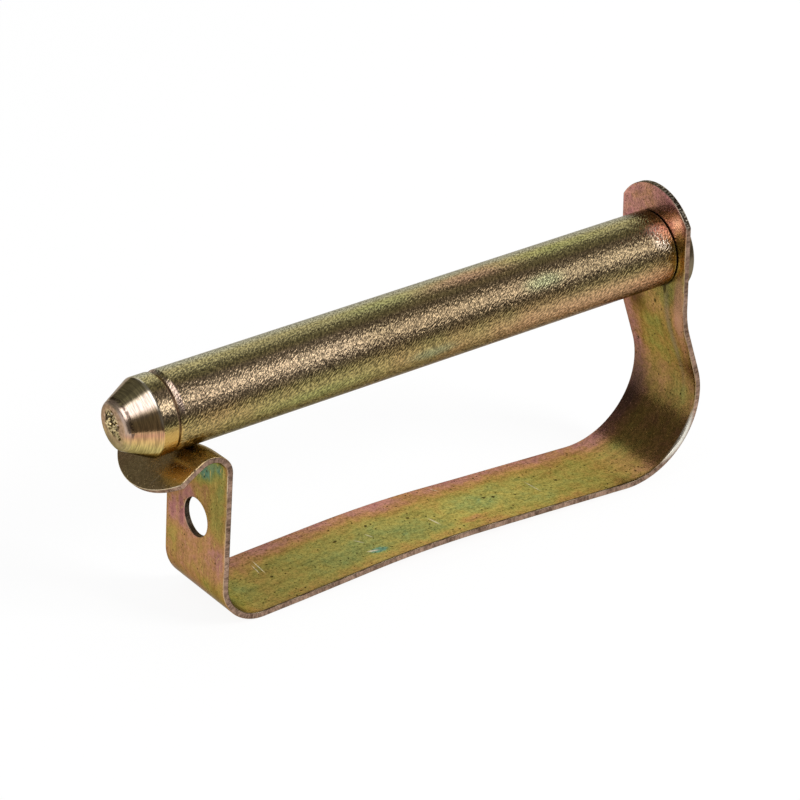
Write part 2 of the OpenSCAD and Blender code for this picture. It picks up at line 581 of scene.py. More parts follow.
# Corners of the section: distance from the axis and length along it, and the radius that rounds them
corners = [
    ((HEAD_R, -STRAP_T - HEAD_RIM), 0.3),
    ((HEAD_R, -STRAP_T), 0.1),
    ((TENON_R, -STRAP_T), 0.04),
    ((TENON_R, 0), 0.04),
    ((PIN_R, 0), SHOULDER_R),
    ((PIN_R, GROOVE_AT - GROOVE_HALF), 0.1),
    ((PIN_R - GROOVE_DEPTH, GROOVE_AT), 0.06),
    ((PIN_R, GROOVE_AT + GROOVE_HALF), 0.1),
    ((PIN_R, PIN_LEN - CONE_LEN), 0.6),
    ((TIP_R, PIN_LEN), 0.9),
]
knots = [(0.0, dome_top)] + [c for c, _ in corners] + [(0.0, PIN_LEN)]
section = [
    (r, dome_top + dome_r - math.sqrt(dome_r**2 - r**2))
    for r in np.linspace(0.3, HEAD_R - 0.4, DOME_RINGS)
]
for before, (corner, radius), after in zip(knots[:-2], corners, knots[2:]):
    section += arc_corner(before, corner, after, radius)
    if corner == (PIN_R, 0):
        section += [(PIN_R, a) for a in np.linspace(SHOULDER_R + 0.5, GROOVE_AT - 1.0, SHANK_RINGS)]
section += [(r, PIN_LEN) for r in np.linspace(TIP_R - 0.62, 0.05, FACE_RINGS)]
print("rings of the section", len(section))

# %% The pin piece
FACE_LEAN = 0.03
# Lumps and hollows of the face: place across, place up, width, height
LUMPS = [
    (0.10, 0.65, 1.35, 0.24),
    (-0.45, 1.15, 0.48, 0.30),
    (0.35, 0.10, 0.55, 0.32),
    (0.75, 1.15, 0.48, 0.28),
    (-0.65, 0.15, 0.38, 0.24),
    (0.95, 0.40, 0.34, 0.22),
    (0.10, 1.65, 0.36, -0.38),
    (-1.05, 0.70, 0.32, -0.36),
    (1.35, 0.80, 0.36, -0.40),
    (0.05, 0.70, 0.36, -0.65),
    (-0.20, -0.35, 0.30, -0.36),
    (0.85, -0.40, 0.30, -0.30),
    (-0.80, -0.50, 0.28, -0.34),
    (-1.20, -0.85, 0.28, -0.50),
    (-1.32, -1.20, 0.20, 0.16),
]


def tip_shift(a, y, z):
    """How far a point of the tip is moved along the pin, towards the head where it is positive."""
    cone_share = np.clip((a - (PIN_LEN - CONE_LEN)) / CONE_LEN, 0, 1)
    askew = cone_share**4 * FACE_LEAN * (TIP_R - z)
    on_face = a > PIN_LEN - 0.001
    nub = sum(h * np.exp(-((y - y0) ** 2 + (z - z0) ** 2) / w**2) for y0, z0, w, h in LUMPS)
    return askew - on_face * nub


def pin_mesh():
    """The revolved section as points and faces, with its length towards -X."""
    angles = np.linspace(0, 2 * math.pi, AROUND, endpoint=False)
    r, a = np.array(section).T
    y = -r[:, None] * np.cos(angles)
    z = r[:, None] * np.sin(angles)
    along = np.repeat(a[:, None], AROUND, axis=1)
    rings = np.stack([tip_shift(along, y, z) - along, y, z], axis=2).reshape(-1, 3)
    tip = -PIN_LEN + tip_shift(np.array(PIN_LEN), 0.0, 0.0)
    points = np.concatenate([[(-dome_top, 0.0, 0.0)], rings, [(tip, 0.0, 0.0)]])
    last = len(points) - 1
    faces = []
    for k in range(AROUND):
        j = (k + 1) % AROUND
        faces.append([0, 1 + j, 1 + k])
        for ring in range(len(section) - 1):
            b = 1 + ring * AROUND
            faces.append([b + k, b + j, b + AROUND + j, b + AROUND + k])
        b = 1 + (len(section) - 1) * AROUND
        faces.append([b + k, b + j, last])
    return points, faces


pin = new_piece("turned_pin", *pin_mesh())
print("pin closed, volume and triangles", closed(pin))

# %% [markdown]
# ## The pin's film
# The bar was grained before plating, so the shank glitters: each facet mirrors a softbox or the dark room.
# The film over it is olive towards the tip and copper under the head, where the bath drained last.
# Its patches are soft ovals with ragged rims, laid on one by one, since a noise alone would scatter them.

# %% Film of the shank
# Patches by the head, partly rubbed film and partly painted highlight: middle, half size, tint, share
RUBBED_AND_HIGHLIT_MARKS = [
    ((-1.1, -3.9, 3.1), (1.4, 1.0, 1.1), (0.82, 0.69, 0.56), 0.9),
    ((-1.8, -2.75, 4.15), (1.3, 0.8, 0.6), (1.0, 0.82, 0.66), 0.95),
]
# Patches of the shank's film, with the same columns
SHANK_MARKS = [
    ((-29, -0.8, 4.92), (7, 1.2, 0.5), (0.53, 0.29, 0.20), 0.65),
    ((-18, -0.4, 4.95), (7, 0.9, 0.5), (0.37, 0.39, 0.13), 0.5),
    ((-43, -0.4, 4.95), (5, 0.9, 0.5), (0.36, 0.38, 0.15), 0.5),
    ((-20.5, -4.0, 3.0), (2.5, 0.9, 0.9), (0.30, 0.37, 0.20), 0.55),
    ((-38, -4.85, -1.2), (3, 0.6, 0.7), (0.26, 0.32, 0.19), 0.55),
    ((-55, -4.75, -1.5), (6, 0.8, 0.8), (0.32, 0.345, 0.12), 0.55),
    ((-14, -4.75, -1.3), (12, 1.0, 1.9), (0.62, 0.37, 0.22), 0.55),
]


def shank_film(place, grain):
    """The film of the shank: olive and copper below, rosy on the side, paler on top; the side's darker tint
    towards the head is painted shade, the pale top at the back is a painted reflection, and the patches by
    the head are partly painted highlight.
    """
    x, y, z = place.parts()
    drift = place.noise(0.1, 2.0).step(0.38, 0.64)
    copper = drift * 0.45 + x.step(-50, -8) * z.step(0.8, -2.2) * 0.75
    film = copper.tint((0.36, 0.295, 0.115), (0.49, 0.275, 0.13))
    side = z.step(0.6, 2.2) * z.step(4.7, 4.2) * 0.85
    # The rosy side band, where the key highlight falls, is partly painted highlight colour, and its darker
    # tint from the middle towards the head is painted shade on that highlight.
    rosy = x.step(-52, -44).tint((0.41, 0.305, 0.205), (0.315, 0.23, 0.142))
    film = side.tint(film, rosy)
    top = z.step(4.2, 4.9) * 0.85
    film = top.tint(film, (0.38, 0.335, 0.165))
    # A pale grey tint along the top at the back: a painted reflection of the white backdrop at a grazing
    # angle.
    back = y.step(-0.3, 1.8) * z.step(2, 3) * x.step(0.4, 0.0) * 0.9
    film = back.tint(film, (0.54, 0.55, 0.45))
    # Ragged rims for the patches by the head, which are partly painted highlight
    rubbed_and_highlit = place.ragged(0.8, 0.4)
    patchy = place.ragged(0.5, 1.2)
    for ragged, marks in ((rubbed_and_highlit, RUBBED_AND_HIGHLIT_MARKS), (patchy, SHANK_MARKS)):
        for middle, size, colour, share in marks:
            film = (ragged.spot(middle, size, 0, 0.8) * share).tint(film, colour)
    speckle = place.noise(4.5, 1.0, 0.5) * 0.4 + grain * 0.6
    return (speckle.step(0.38, 0.62) + 0.5).times(film)


print("patches on the shank", len(RUBBED_AND_HIGHLIT_MARKS + SHANK_MARKS))

# %% [markdown]
# ## The head, the groove and the shoulder
# The head was hammered down over the tab, so its gold is mottled without any direction; its rim is darker.
# The groove and the joint under the head stay dark, because light hardly reaches them.
# Each of these is a band along the pin, so two steps along its length, multiplied, make its mask.

# %% Film of the head, the groove and the shoulder
GROOVE_X = -GROOVE_AT


def worked_film(place, film, head, land, grain, hammered):
    """The shank's film with the hammered head, the land, the groove and the shoulder laid over it, and a
    painted highlight on the groove's flank and a painted glint at the shoulder.
    """
    x, _, z = place.parts()
    gold = hammered.step(0.25, 0.75).tint((0.21, 0.155, 0.065), (0.36, 0.27, 0.12))
    film = head.tint(film, gold)
    head_rim = head * x.step(2.0, 1.7) * 0.75
    film = head_rim.tint(film, (0.20, 0.165, 0.12))
    film = (land * z.step(1.2, -0.6) * 0.85).tint(film, (0.60, 0.37, 0.105))
    dip = x.step(GROOVE_X - 0.6, GROOVE_X - 0.35) * x.step(GROOVE_X + 0.1, GROOVE_X - 0.1)
    film = (dip * (z.step(-1.6, 0.4) * 0.55 + 0.3)).tint(film, (0.15, 0.09, 0.06))
    # Pink on the groove's right flank, only where the highlight falls: painted highlight.
    flank = x.step(GROOVE_X, GROOVE_X + 0.15) * x.step(GROOVE_X + 0.8, GROOVE_X + 0.5)
    film = (flank * z.step(1.4, 2.4) * z.step(4.9, 4.5) * 0.8).tint(film, (0.62, 0.46, 0.38))
    # A pale line round the shoulder: painted glint.
    shoulder = x.step(-0.42, -0.3) * x.step(-0.12, -0.2)
    film = (shoulder * grain * 1.4).tint(film, (0.85, 0.78, 0.58))
    joint = x.step(-0.14, -0.06) * x.step(0.5, 0.3)
    return joint.tint(film, (0.05, 0.04, 0.025))


print("groove at", round(GROOVE_X, 2))

# %% [markdown]
# ## The cone and the tip
# The cone was turned smooth after graining, so it mirrors cleanly and shows the film's pure colours.
# They are laid on by the way the surface faces, from underside to top, so a ramp over that slant gives them;
# the pale pink stops, where the upper softbox is mirrored, are painted highlight colour.
# The sawn face is tan, with a torn nub that is dark in its hollows and bright on its peaks.

# %% Film of the cone and the tip
CONE_X = CONE_LEN - PIN_LEN
TIP_X = -PIN_LEN
# Tints of the turned cone from its underside to its top; the pale pink ones are painted highlight colour
CONE_FILM = [
    (0.10, (0.33, 0.27, 0.12)),
    (0.28, (0.50, 0.39, 0.14)),
    (0.40, (0.58, 0.37, 0.15)),
    (0.50, (0.50, 0.26, 0.15)),
    (0.60, (0.48, 0.31, 0.15)),
    (0.74, (0.47, 0.33, 0.16)),
    (0.86, (0.47, 0.375, 0.32)),
    (0.94, (0.47, 0.375, 0.32)),
    (0.98, (0.46, 0.40, 0.22)),
]


def tip_rim(x):
    """The narrow rounded rim between the cone and the tip's face."""
    return x.step(TIP_X + 0.8, TIP_X + 0.6) * x.step(TIP_X + 0.04, TIP_X + 0.2)


def cone_film(place, turned, sawn):
    """The film of the turned cone, with a painted highlight on its arris and on its rim, and the broken seam
    behind the rim.
    """
    x, y, z = place.parts()
    reach = place.math("SQRT", y * y + z * z)
    slant = (z / reach + place.noise(0.5, 2.0) * 0.12 + 0.94) / 2
    film = (turned.step(0.34, 0.66) * 0.6 + 0.72).times(slant.ramp(CONE_FILM))
    # A pale line along the cone's base, on its upper side: painted highlight.
    arris = x.step(CONE_X + 0.5, CONE_X + 0.25) * x.step(CONE_X - 0.3, CONE_X) * z.step(0.6, 1.6)
    film = (arris * turned).tint(film, (0.80, 0.76, 0.66))
    # The rim between the cone and the face, pink and stronger on its upper side: painted highlight.
    rim = tip_rim(x) * (z.step(-0.4, 0.8) * 0.6 + 0.1)
    film = rim.tint(film, (0.66, 0.50, 0.42))
    seam = x.step(TIP_X + 1.1, TIP_X + 0.95) * x.step(TIP_X + 0.6, TIP_X + 0.75)
    seam = seam * sawn.step(0.44, 0.54) * z.step(-0.6, 0.2)
    return (seam * 0.9).tint(film, (0.12, 0.08, 0.06))


def face_film(place, nub, sawn):
    """The tan of the sawn face, with the torn nub on it."""
    tan = sawn.step(0.3, 0.7).tint((0.33, 0.21, 0.13), (0.62, 0.42, 0.28))
    torn = place.noise(1.7, 2.0, 0.7).step(0.42, 0.56)
    return nub.tint(tan, torn.tint((0.05, 0.035, 0.02), (0.80, 0.64, 0.34)))


print("cone from", round(CONE_X, 2), "to", round(TIP_X, 2))

# %% [markdown]
# ## The pin's material
# The films are laid over each other with masks along the pin, and the same masks set how rough it is.
# The shank's glitter is a noise in the bump, drawn out along a helix as the marks of a grinding wheel are.
# On the round head a helix would show as spokes, so the hammered noise takes its place there.

# %% Finish of the pin
EDGE_TINT = (0.50, 0.46, 0.38, 1)
PIN_BUMP = 0.095


def plated(start, shader, base, rough, height, depth):
    """Sets up a plated metal: its colour, its roughness and a bump of this depth in millimetres."""
    plug(base, shader, "Base Color")
    plug(rough, shader, "Roughness")
    bump = {"Strength": 1.0, "Distance": depth * MM, "Height": height}
    plug(start.make("Bump", {}, bump), shader, "Normal")
    shader.inputs["Metallic"].default_value = 1.0
    shader.inputs["Specular Tint"].default_value = EDGE_TINT


def pin_finish():
    """The pin's material, from the head to the tip's face."""
    material, shader, start = new_finish("grained_gold_zinc")
    place = start.make("TexCoord", {}, {}, out="Object").scaled((1 / MM, 1 / MM, 1 / MM))
    x, y, z = place.parts()
    head = x.step(0.4, 0.7)
    land = x.step(GROOVE_X + 0.4, GROOVE_X - 0.2)
    cone = x.step(CONE_X + 0.25, CONE_X)
    face = x.step(TIP_X + 0.6, TIP_X + 0.3)
    arc = start.math("ARCTAN2", z, y * -1) * PIN_R
    helix = start.make("CombineXYZ", {}, {"X": x - arc, "Y": (x + arc) * 0.35})
    ground = helix.noise(3.7, 1.0, 0.5)
    hammered = place.noise(1.0, 2.0, 0.6)
    grain = ground + head * (hammered - ground)
    turned = place.scaled((5, 0.35, 0.35)).noise(1.6, 2.0, 0.6)
    sawn = place.noise(2.4, 3.0, 0.65)
    nub = place.scaled((0, 1, 1)).ragged(1.2, 0.6).spot((0, 0.1, 0.5), (1, 1.55, 1.7), 0, 0.25)
    base = worked_film(place, shank_film(place, grain), head, land, grain, hammered)
    base = cone.tint(base, cone_film(place, turned, sawn))
    base = (face * (1 - tip_rim(x))).tint(base, face_film(place, nub, sawn))
    rough = grain * 0.08 + 0.175 - cone * 0.075 + face * (0.22 - nub * 0.18) + head * 0.1
    height = grain * (1 - land * 0.5) * (1 - cone * 0.94) * (1 - head * 0.5)
    height = height + turned * cone * 0.08 + sawn * face * 0.4
    plated(start, shader, base, rough, height, PIN_BUMP)
    return material


pin.data.materials.append(pin_finish())
print("pin finish", pin.data.materials[0].name)

# %% [markdown]
# ## The strap's film
# The passivated film on the strap is thin enough to show interference colours, which turn with its thickness.
# A number stands for that thickness, and a ramp of the film's colours turns it into tint.
# The film is thicker along the cut edges, where the current of the plating bath crowds.
# So the edges go gold and pink, and ragged ovals thin or thicken the film at their places on the flat blank.

# %% Film of the strap
FILM = [
    (0.00, (0.16, 0.30, 0.20)),
    (0.18, (0.27, 0.30, 0.10)),
    (0.38, (0.385, 0.325, 0.09)),
    (0.56, (0.44, 0.28, 0.085)),
    (0.74, (0.48, 0.245, 0.115)),
    (0.88, (0.48, 0.23, 0.17)),
    (1.00, (0.42, 0.18, 0.17)),
]
INNER = -STRAP_T / 2
OUTER = STRAP_T / 2
MARK_DEPTH = 0.4
# Changes of the film: length, width, face, half length, half width, turn, change
FILM_MARKS = [
    (66.0, -0.9, INNER, 4.6, 1.6, 0, -0.12),
    (64.0, -1.6, INNER, 1.6, 0.9, -30, -0.08),
    (18.0, 0.0, INNER, 7.0, 4.0, 0, 0.06),
    (83.0, -2.0, INNER, 7.0, 2.5, 0, -0.14),
    (82.8, -3.8, INNER, 1.0, 0.5, 20, -0.45),
    (68.5, -3.9, INNER, 2.2, 0.7, 0, 0.22),
    (101.0, -1.2, INNER, 1.5, 2.2, 0, -0.1),
    (98.0, 1.5, INNER, 3.0, 2.5, 0, 0.12),
    (19.0, -0.8, INNER, 2.0, 1.2, 0, -0.06),
    (24.8, -0.4, INNER, 2.0, 1.2, 0, -0.08),
    (16.2, 0.9, INNER, 2.4, 3.4, 0, 0.2),
    (27.8, 0.8, INNER, 2.6, 2.4, 0, 0.16),
    (20.0, -5.2, INNER, 6.0, 1.4, 0, 0.25),
    (36.0, -1.6, INNER, 11.0, 4.6, 0, 0.2),
    (7.5, -5.6, INNER, 3.0, 1.4, 0, -0.5),
    (134.0, -1.0, INNER, 5.0, 8.0, 0, 0.12),
    (125.0, -2.5, OUTER, 3.2, 1.3, 130, -0.7),
    (124.4, -5.2, OUTER, 2.6, 0.9, 0, -0.3),
    (123.4, -3.3, OUTER, 1.4, 0.7, 130, -0.1),
    (116.5, 4.9, OUTER, 1.7, 0.8, 0, 0.25),
    (117.0, 3.0, OUTER, 2.0, 0.7, 0, 0.28),
    (119.9, 1.6, OUTER, 1.1, 1.2, 0, 0.26),
    (111.8, 5.0, OUTER, 1.8, 1.2, 0, -0.22),
    (113.4, -5.4, OUTER, 2.0, 0.8, 0, 0.14),
    (109.0, -3.4, OUTER, 1.4, 2.2, 0, -0.2),
    (119.5, -4.6, OUTER, 3.5, 1.6, 0, -0.24),
]


def strap_film(place):
    """The film's thickness from 0 to 1 over the blank."""
    s, v, t = place.parts()
    outer = t.step(-0.1, 0.1)
    slow = place.noise(0.16, 2.0) - 0.5
    quick = place.noise(0.9, 3.0, 0.6) - 0.5
    far = v.step(1.2, 6.0) * 0.5 * s.step(9, 13)
    run = far + v.step(-3.6, -6.2) * 0.16 + s.step(12, 8) * 0.53 + 0.36
    film = run + outer * (0.7 - run) + slow * 0.55 + quick * 0.42
    patchy = place.ragged(1.1, 0.9)
    for length, width, face, a, b, turn, change in FILM_MARKS:
        film = film + patchy.spot((length, width, face), (a, b, MARK_DEPTH), turn, 0.65) * change
    return film


print("film marks", len(FILM_MARKS))

# %% [markdown]
# ## The strap's faces
# Rolling left fine lines along the strip, and the strip is duller in some stretches and brighter in others;
# the brighter spot just below the pin is painted light.
# Marks lie over the film: a dark streak below the pin and a dark patch on the loop, both painted reflection;
# a blush on the tab; and a dark line round the pin, painted shade.
# Each is an oval or a band at its place on the blank, so that it stays there when the strap bends.

# %% Tint of the faces
# Stretches of the strip: first length, length of full change, end of full change, last length, change
SHINE_RUNS = [
    (78, 97, 101, 108, -0.3),
    (10, 14, 39, 44, -0.22),
    (25, 29, 33, 38, -0.1),
    (38, 44, 48, 58, -0.13),
]
# Soft spots on the inner face: length, width, half length, half width, change
SHINE_SPOTS = [
    # Brighter just below the pin: painted light.
    (15.3, 0.0, 1.6, 2.2, 0.3),
    (17.0, 3.2, 2.0, 2.0, -0.5),
    (66.0, -0.9, 6.0, 2.4, 0.25),
]
CREVICE_R = PIN_R + 0.14


def shine(place):
    """How bright the strip is over the blank, where 1 is plain."""
    s, _, t = place.parts()
    level = 1 - s.step(116, 119) * t.step(-0.1, 0.1) * 0.22 + s.step(7, 5) * 0.2
    for begin, full, ebb, end, change in SHINE_RUNS:
        level = level + s.step(begin, full) * s.step(end, ebb) * change
    for length, width, a, b, change in SHINE_SPOTS:
        level = level + place.spot((length, width, INNER), (a, b, MARK_DEPTH), 0, 0.8) * change
    return level


def face_tint(place, mottle):
    """The colour of the strip's two faces, with their marks, among them painted reflections and painted
    shade.
    """
    s, v, t = place.parts()
    speckle = mottle.step(0.36, 0.64)
    rolled = place.scaled((0.16, 1.2, 1)).noise(1.3, 2.0, 0.6).step(0.3, 0.7)
    depth = 0.5 - t.step(-0.1, 0.1) * 0.2
    shade = (speckle - 0.5) * depth + rolled * 0.26 + 0.87
    base = (shine(place) * shade).times(strap_film(place).ramp(FILM))
    tongue = s.step(TONGUE_START - 5, TONGUE_START - 2) * t.step(0.0, -0.3)
    base = (tongue * 0.8).tint(base, speckle.tint((0.50, 0.37, 0.19), (0.68, 0.52, 0.29)))
    flecks = place.scaled((0.7, 3.0, 1)).noise(1.3, 1.0).step(0.66, 0.74) * t.step(0.1, 0.3)
    base = (flecks * 0.6).tint(base, (0.60, 0.44, 0.13))
    # A dark streak running down below the pin: a painted reflection of the pin's edge.
    reflection_streak = place.ragged(1.5, 0.5).spot((20.0, -3.4, INNER), (6.5, 0.5, MARK_DEPTH), -4, 0.8)
    base = (reflection_streak * mottle * 0.7).tint(base, (0.24, 0.18, 0.18))
    blush = place.spot((3.7, -4.6, INNER), (1.1, 0.9, MARK_DEPTH), 0, 0.9)
    base = (blush * 0.7).tint(base, (0.95, 0.54, 0.38))
    patchy = place.ragged(0.8, 0.6)
    salmon = patchy.spot((15.0, -5.5, INNER), (4.5, 0.9, MARK_DEPTH), 0, 0.5)
    base = (salmon * 0.7).tint(base, (0.56, 0.30, 0.18))
    # A dark patch on the far side of the loop: a painted dark reflection.
    dark_reflection_patch = patchy.spot((32.5, 5.6, INNER), (4.4, 2.4, MARK_DEPTH), 0, 0.8)
    base = (dark_reflection_patch * 0.75).tint(base, (0.07, 0.045, 0.03))
    # A dark line round the pin on the tab's near side only: painted shade.
    crevice = place.spot((RIVET_AT, 0, INNER), (CREVICE_R, CREVICE_R, MARK_DEPTH), 0, 0.03)
    return (crevice * v.step(3.0, 0.0) * 0.85).tint(base, (0.05, 0.04, 0.025))


print("duller and brighter places", len(SHINE_RUNS + SHINE_SPOTS))

# %% [markdown]
# ## The strap's cut edges
# A shear first cuts the metal and then tears it, so the edges are speckled with brown and pale grains.
# The wall of the lanyard hole and the top of the tab's cut edge are darker.
# The arrises are pale at the ends, partly from wear and partly as painted highlight; along the lower run the
# inner ones and a line inside the near edge are darkened as painted shade, and a painted glint lies on the
# loop's near arris.

# %% Tint of the cut edges
LINE_TINT = (0.08, 0.05, 0.035)
HOLE_REACH = LANYARD_R + 0.3


def cut_tint(place, shear):
    """The colour of the sheared edges."""
    patches = place.noise(0.35, 2.0).step(0.36, 0.64)
    speckle = shear.step(0.36, 0.64) * 0.6 + patches * 0.4
    sheared = speckle.tint((0.13, 0.08, 0.055), (0.53, 0.35, 0.255))
    hole_wall = place.spot((LANYARD_AT, 0, 0), (HOLE_REACH, HOLE_REACH, 2), 0, 0.05)
    # Darker on the lanyard hole's wall and on the cut edge at the top of the tab.
    darker_cut = hole_wall * 0.85 + place.part("X").step(4.2, 3.2) * 0.85
    torn = shear.step(0.50, 0.62) * (1 - hole_wall)
    return darker_cut.tint(sheared, torn.tint((0.02, 0.02, 0.015), (0.50, 0.47, 0.38)))


def arris_tint(place, base, cut, on_cut):
    """The strip's colour with its arrises laid over it."""
    s, v, t = place.parts()
    arris = (cut * (1 - cut) * 4).step(0.4, 0.9)
    # The inner arrises along the lower run: painted shade.
    shaded = arris * t.step(0.1, -0.1) * s.step(34, 40) * s.step(118, 100)
    base = (shaded * 0.8).tint(base, LINE_TINT)
    # A dark line inside the near edge along the lower run, on the near side only: painted shade.
    near_line = v.step(-6.1, -6.28) * s.step(38, 46) * s.step(112, 104)
    near_line = near_line * t.step(0.0, -0.2) * (1 - on_cut)
    base = (near_line * 0.75).tint(base, LINE_TINT)
    glint = place.spot((35.2, -6.4, INNER), (3.4, 0.35, 0.6), 0, 0.5)
    base = glint.tint(base, (0.95, 0.92, 0.82))
    # Pale arrises, more at the two ends: partly wear, partly painted highlight.
    rubbed_and_highlit = s.step(122, 125) * 0.5 + s.step(5, 3.5) * 0.5 + 0.4
    worn_and_highlit = arris * place.noise(0.5, 2.0).step(0.35, 0.6) * rubbed_and_highlit
    return worn_and_highlit.tint(base, (0.72, 0.60, 0.42))


print("hole wall within", round(HOLE_REACH, 2))

# %% [markdown]
# ## The strap's material
# Scratches bare the pale zinc and pits hold dark dirt, so both change the colour and the bump together.
# The larger ones are listed one by one, and a pattern of cells scatters the fine pits.

# %% Finish of the strap
STRAP_BUMP = 0.06
# Pale scratches on the inner face: length, width, half length, half width, turn
SCRATCHES = [
    (96.9, 2.2, 1.4, 0.07, 94),
    (97.5, 2.0, 1.0, 0.05, 96),
    (56.7, -0.7, 1.5, 0.06, 86),
    (73.2, -2.0, 1.0, 0.10, 80),
    (68.2, 5.0, 0.6, 0.06, 60),
    (83.8, -0.6, 0.7, 0.06, 60),
    (82.0, -0.2, 0.6, 0.06, 70),
    (83.6, -3.5, 0.7, 0.17, 20),
    (135.6, -2.4, 1.1, 0.06, 6),
    (133.4, -3.2, 0.6, 0.05, 30),
]
# Dark pits and smudges there: length, width, half length, half width
PITS = [
    (96.8, -0.6, 0.16, 0.2),
    (81.0, 2.0, 0.2, 0.2),
    (75.5, 0.6, 0.2, 0.2),
    (86.2, 1.2, 0.25, 0.18),
    (53.0, -0.8, 0.2, 0.2),
    (62.8, -0.4, 0.25, 0.2),
    (64.0, 0.0, 0.2, 0.2),
    (24.8, 5.0, 0.22, 0.2),
    (16.0, -0.8, 0.3, 0.2),
    (13.5, -2.6, 0.7, 0.35),
]


def strap_scratches(place):
    """1 on the pale scratches."""
    return sum(
        place.spot((length, width, INNER), (a, b, MARK_DEPTH), turn)
        for length, width, a, b, turn in SCRATCHES
    )


def strap_pits(place):
    """1 in the pits, of which the finest are scattered."""
    pits = place.dots(1.15, 0.11, 0.4) + place.dots(2.3, 0.065, 0.5) * 0.8
    uneven = place.ragged(2.0, 0.3)
    for length, width, a, b in PITS:
        pits = pits + uneven.spot((length, width, INNER), (a, b, MARK_DEPTH))
    return pits.math("MINIMUM", pits, 1.0)


def strap_finish():
    """The strap's material, laid out on the flat blank."""
    material, shader, start = new_finish("satin_gold_zinc")
    place = start.make("Attribute", {"attribute_name": "blank"}, {}, out="Vector")
    cut = start.make("Attribute", {"attribute_name": "cut"}, {}, out="Fac")
    on_cut = cut.step(0.6, 0.95)
    mottle = place.noise(3.6, 2.0, 0.7)
    shear = place.scaled((2.2, 2.2, 0.9)).noise(1.6, 3.0, 0.7)
    scratched = strap_scratches(place)
    pits = strap_pits(place)
    base = face_tint(place, mottle)
    base = (scratched * mottle * 1.3).tint(base, (0.80, 0.70, 0.52))
    base = (pits * 0.85).tint(base, (0.06, 0.045, 0.02))
    base = on_cut.tint(base, cut_tint(place, shear))
    base = arris_tint(place, base, cut, on_cut)
    rough = mottle * 0.1 + 0.22 + on_cut * 0.15 + pits * 0.2
    height = mottle * 0.3 - pits * 0.6 + shear * on_cut * 0.9 - scratched * 0.15
    plated(start, shader, base, rough, height, STRAP_BUMP)
    return material


strap.data.materials.append(strap_finish())
print("strap finish", strap.data.materials[0].name)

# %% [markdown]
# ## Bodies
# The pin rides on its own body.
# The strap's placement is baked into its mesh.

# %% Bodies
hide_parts("pin")
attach(pin, "pin")
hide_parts("strap")
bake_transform(strap)

# %% [markdown]
# ## The floor and the background
# The object stands on a white sweep, with one softbox in front, one up on the left and a dark room around.
# The floor touches the strap where it rests: at the bottom of the loop and under the corner of the upright.
# To the camera the floor is mostly plain white, so that it runs into the background and keeps a soft shadow.

# %% World and floor
FLOOR_SIZE = 6.0
SQUARE = ((-1, -1), (1, -1), (1, 1), (-1, 1))


def ray(start, name):
    """1 for rays of this kind."""
    return start.make("LightPath", {}, {}, out="Is " + name + " Ray")


def white_world():
    """White where it is seen or mirrored, and dimmer as a light, so that the lamp still casts a shadow."""
    world = bpy.data.worlds.new("white_room")
    bpy.context.scene.world = world
    world.use_nodes = True
    background = world.node_tree.nodes["Background"]
    start = Sock(world.node_tree, background.outputs[0])
    mirrored = start.math("MAXIMUM", ray(start, "Glossy"), ray(start, "Transmission"))
    seen = start.math("MAXIMUM", ray(start, "Camera"), mirrored)
    plug(seen * 0.45 + 0.55, background, "Strength")
    background.inputs["Color"].default_value = (1, 1, 1, 1)


def sheet(name, corners, material):
    """A flat card of the studio."""
    mesh = bpy.data.meshes.new(name)
    mesh.from_pydata(corners, [], [list(range(len(corners)))])
    mesh.materials.append(material)
    obj = bpy.data.objects.new(name, mesh)
    bpy.context.scene.collection.objects.link(obj)
    return obj


def floor_white():
    """A lit matt sheet, which to the camera is mostly plain white with a share of the sheet's soft shadow."""
    material = bpy.data.materials.new("floor_white")
    material.use_nodes = True
    tree = material.node_tree
    tree.nodes.remove(tree.nodes["Principled BSDF"])
    end = tree.nodes["Material Output"]
    start = Sock(tree, end.inputs[0])
    matt = start.make("BsdfDiffuse", {}, {"Color": (0.9, 0.9, 0.9, 1)})
    glow = start.make("Emission", {}, {"Color": (1, 1, 1, 1), "Strength": 1.04})
    share = ray(start, "Camera") * 0.88 + ray(start, "Glossy") * 0.7
    plug(start.make("MixShader", {}, {0: share, 1: matt, 2: glow}), end, "Surface")
    return material


def lowest(chosen):
    """The lowest of the chosen points of the strap."""
    return Vector(folded[chosen][np.argmin(folded[chosen][:, 2])]) * MM


loop_rest = lowest(folded[:, 0] > -30)
corner_rest = lowest(folded[:, 0] < -55)
FLOOR_SLOPE = (corner_rest.z - loop_rest.z) / (corner_rest.x - loop_rest.x)


def on_floor(x, y, lift=0.0):
    """A point of the floor, or just above it."""
    return (x, y, loop_rest.z + (x - loop_rest.x) * FLOOR_SLOPE + lift)


floor_corners = [on_floor(a * FLOOR_SIZE / 2, b * FLOOR_SIZE / 2) for a, b in SQUARE]
sheet("floor", floor_corners, floor_white())
white_world()
print("rests on", in_mm([loop_rest, corner_rest]))

# %% [markdown]
# ## The cards
# Bright metal shows what it mirrors.
# So cards that only reflections see stand for the softboxes and the dark room.
# The ceiling is a little brighter than the walls, because light from the white floor reaches it.
# A narrow card on the floor behind stands for the pin's shadow there, which the loop mirrors as a dark field.
# The upper softbox fades towards its ends, because the lamp inside lights the middle of its cloth most.

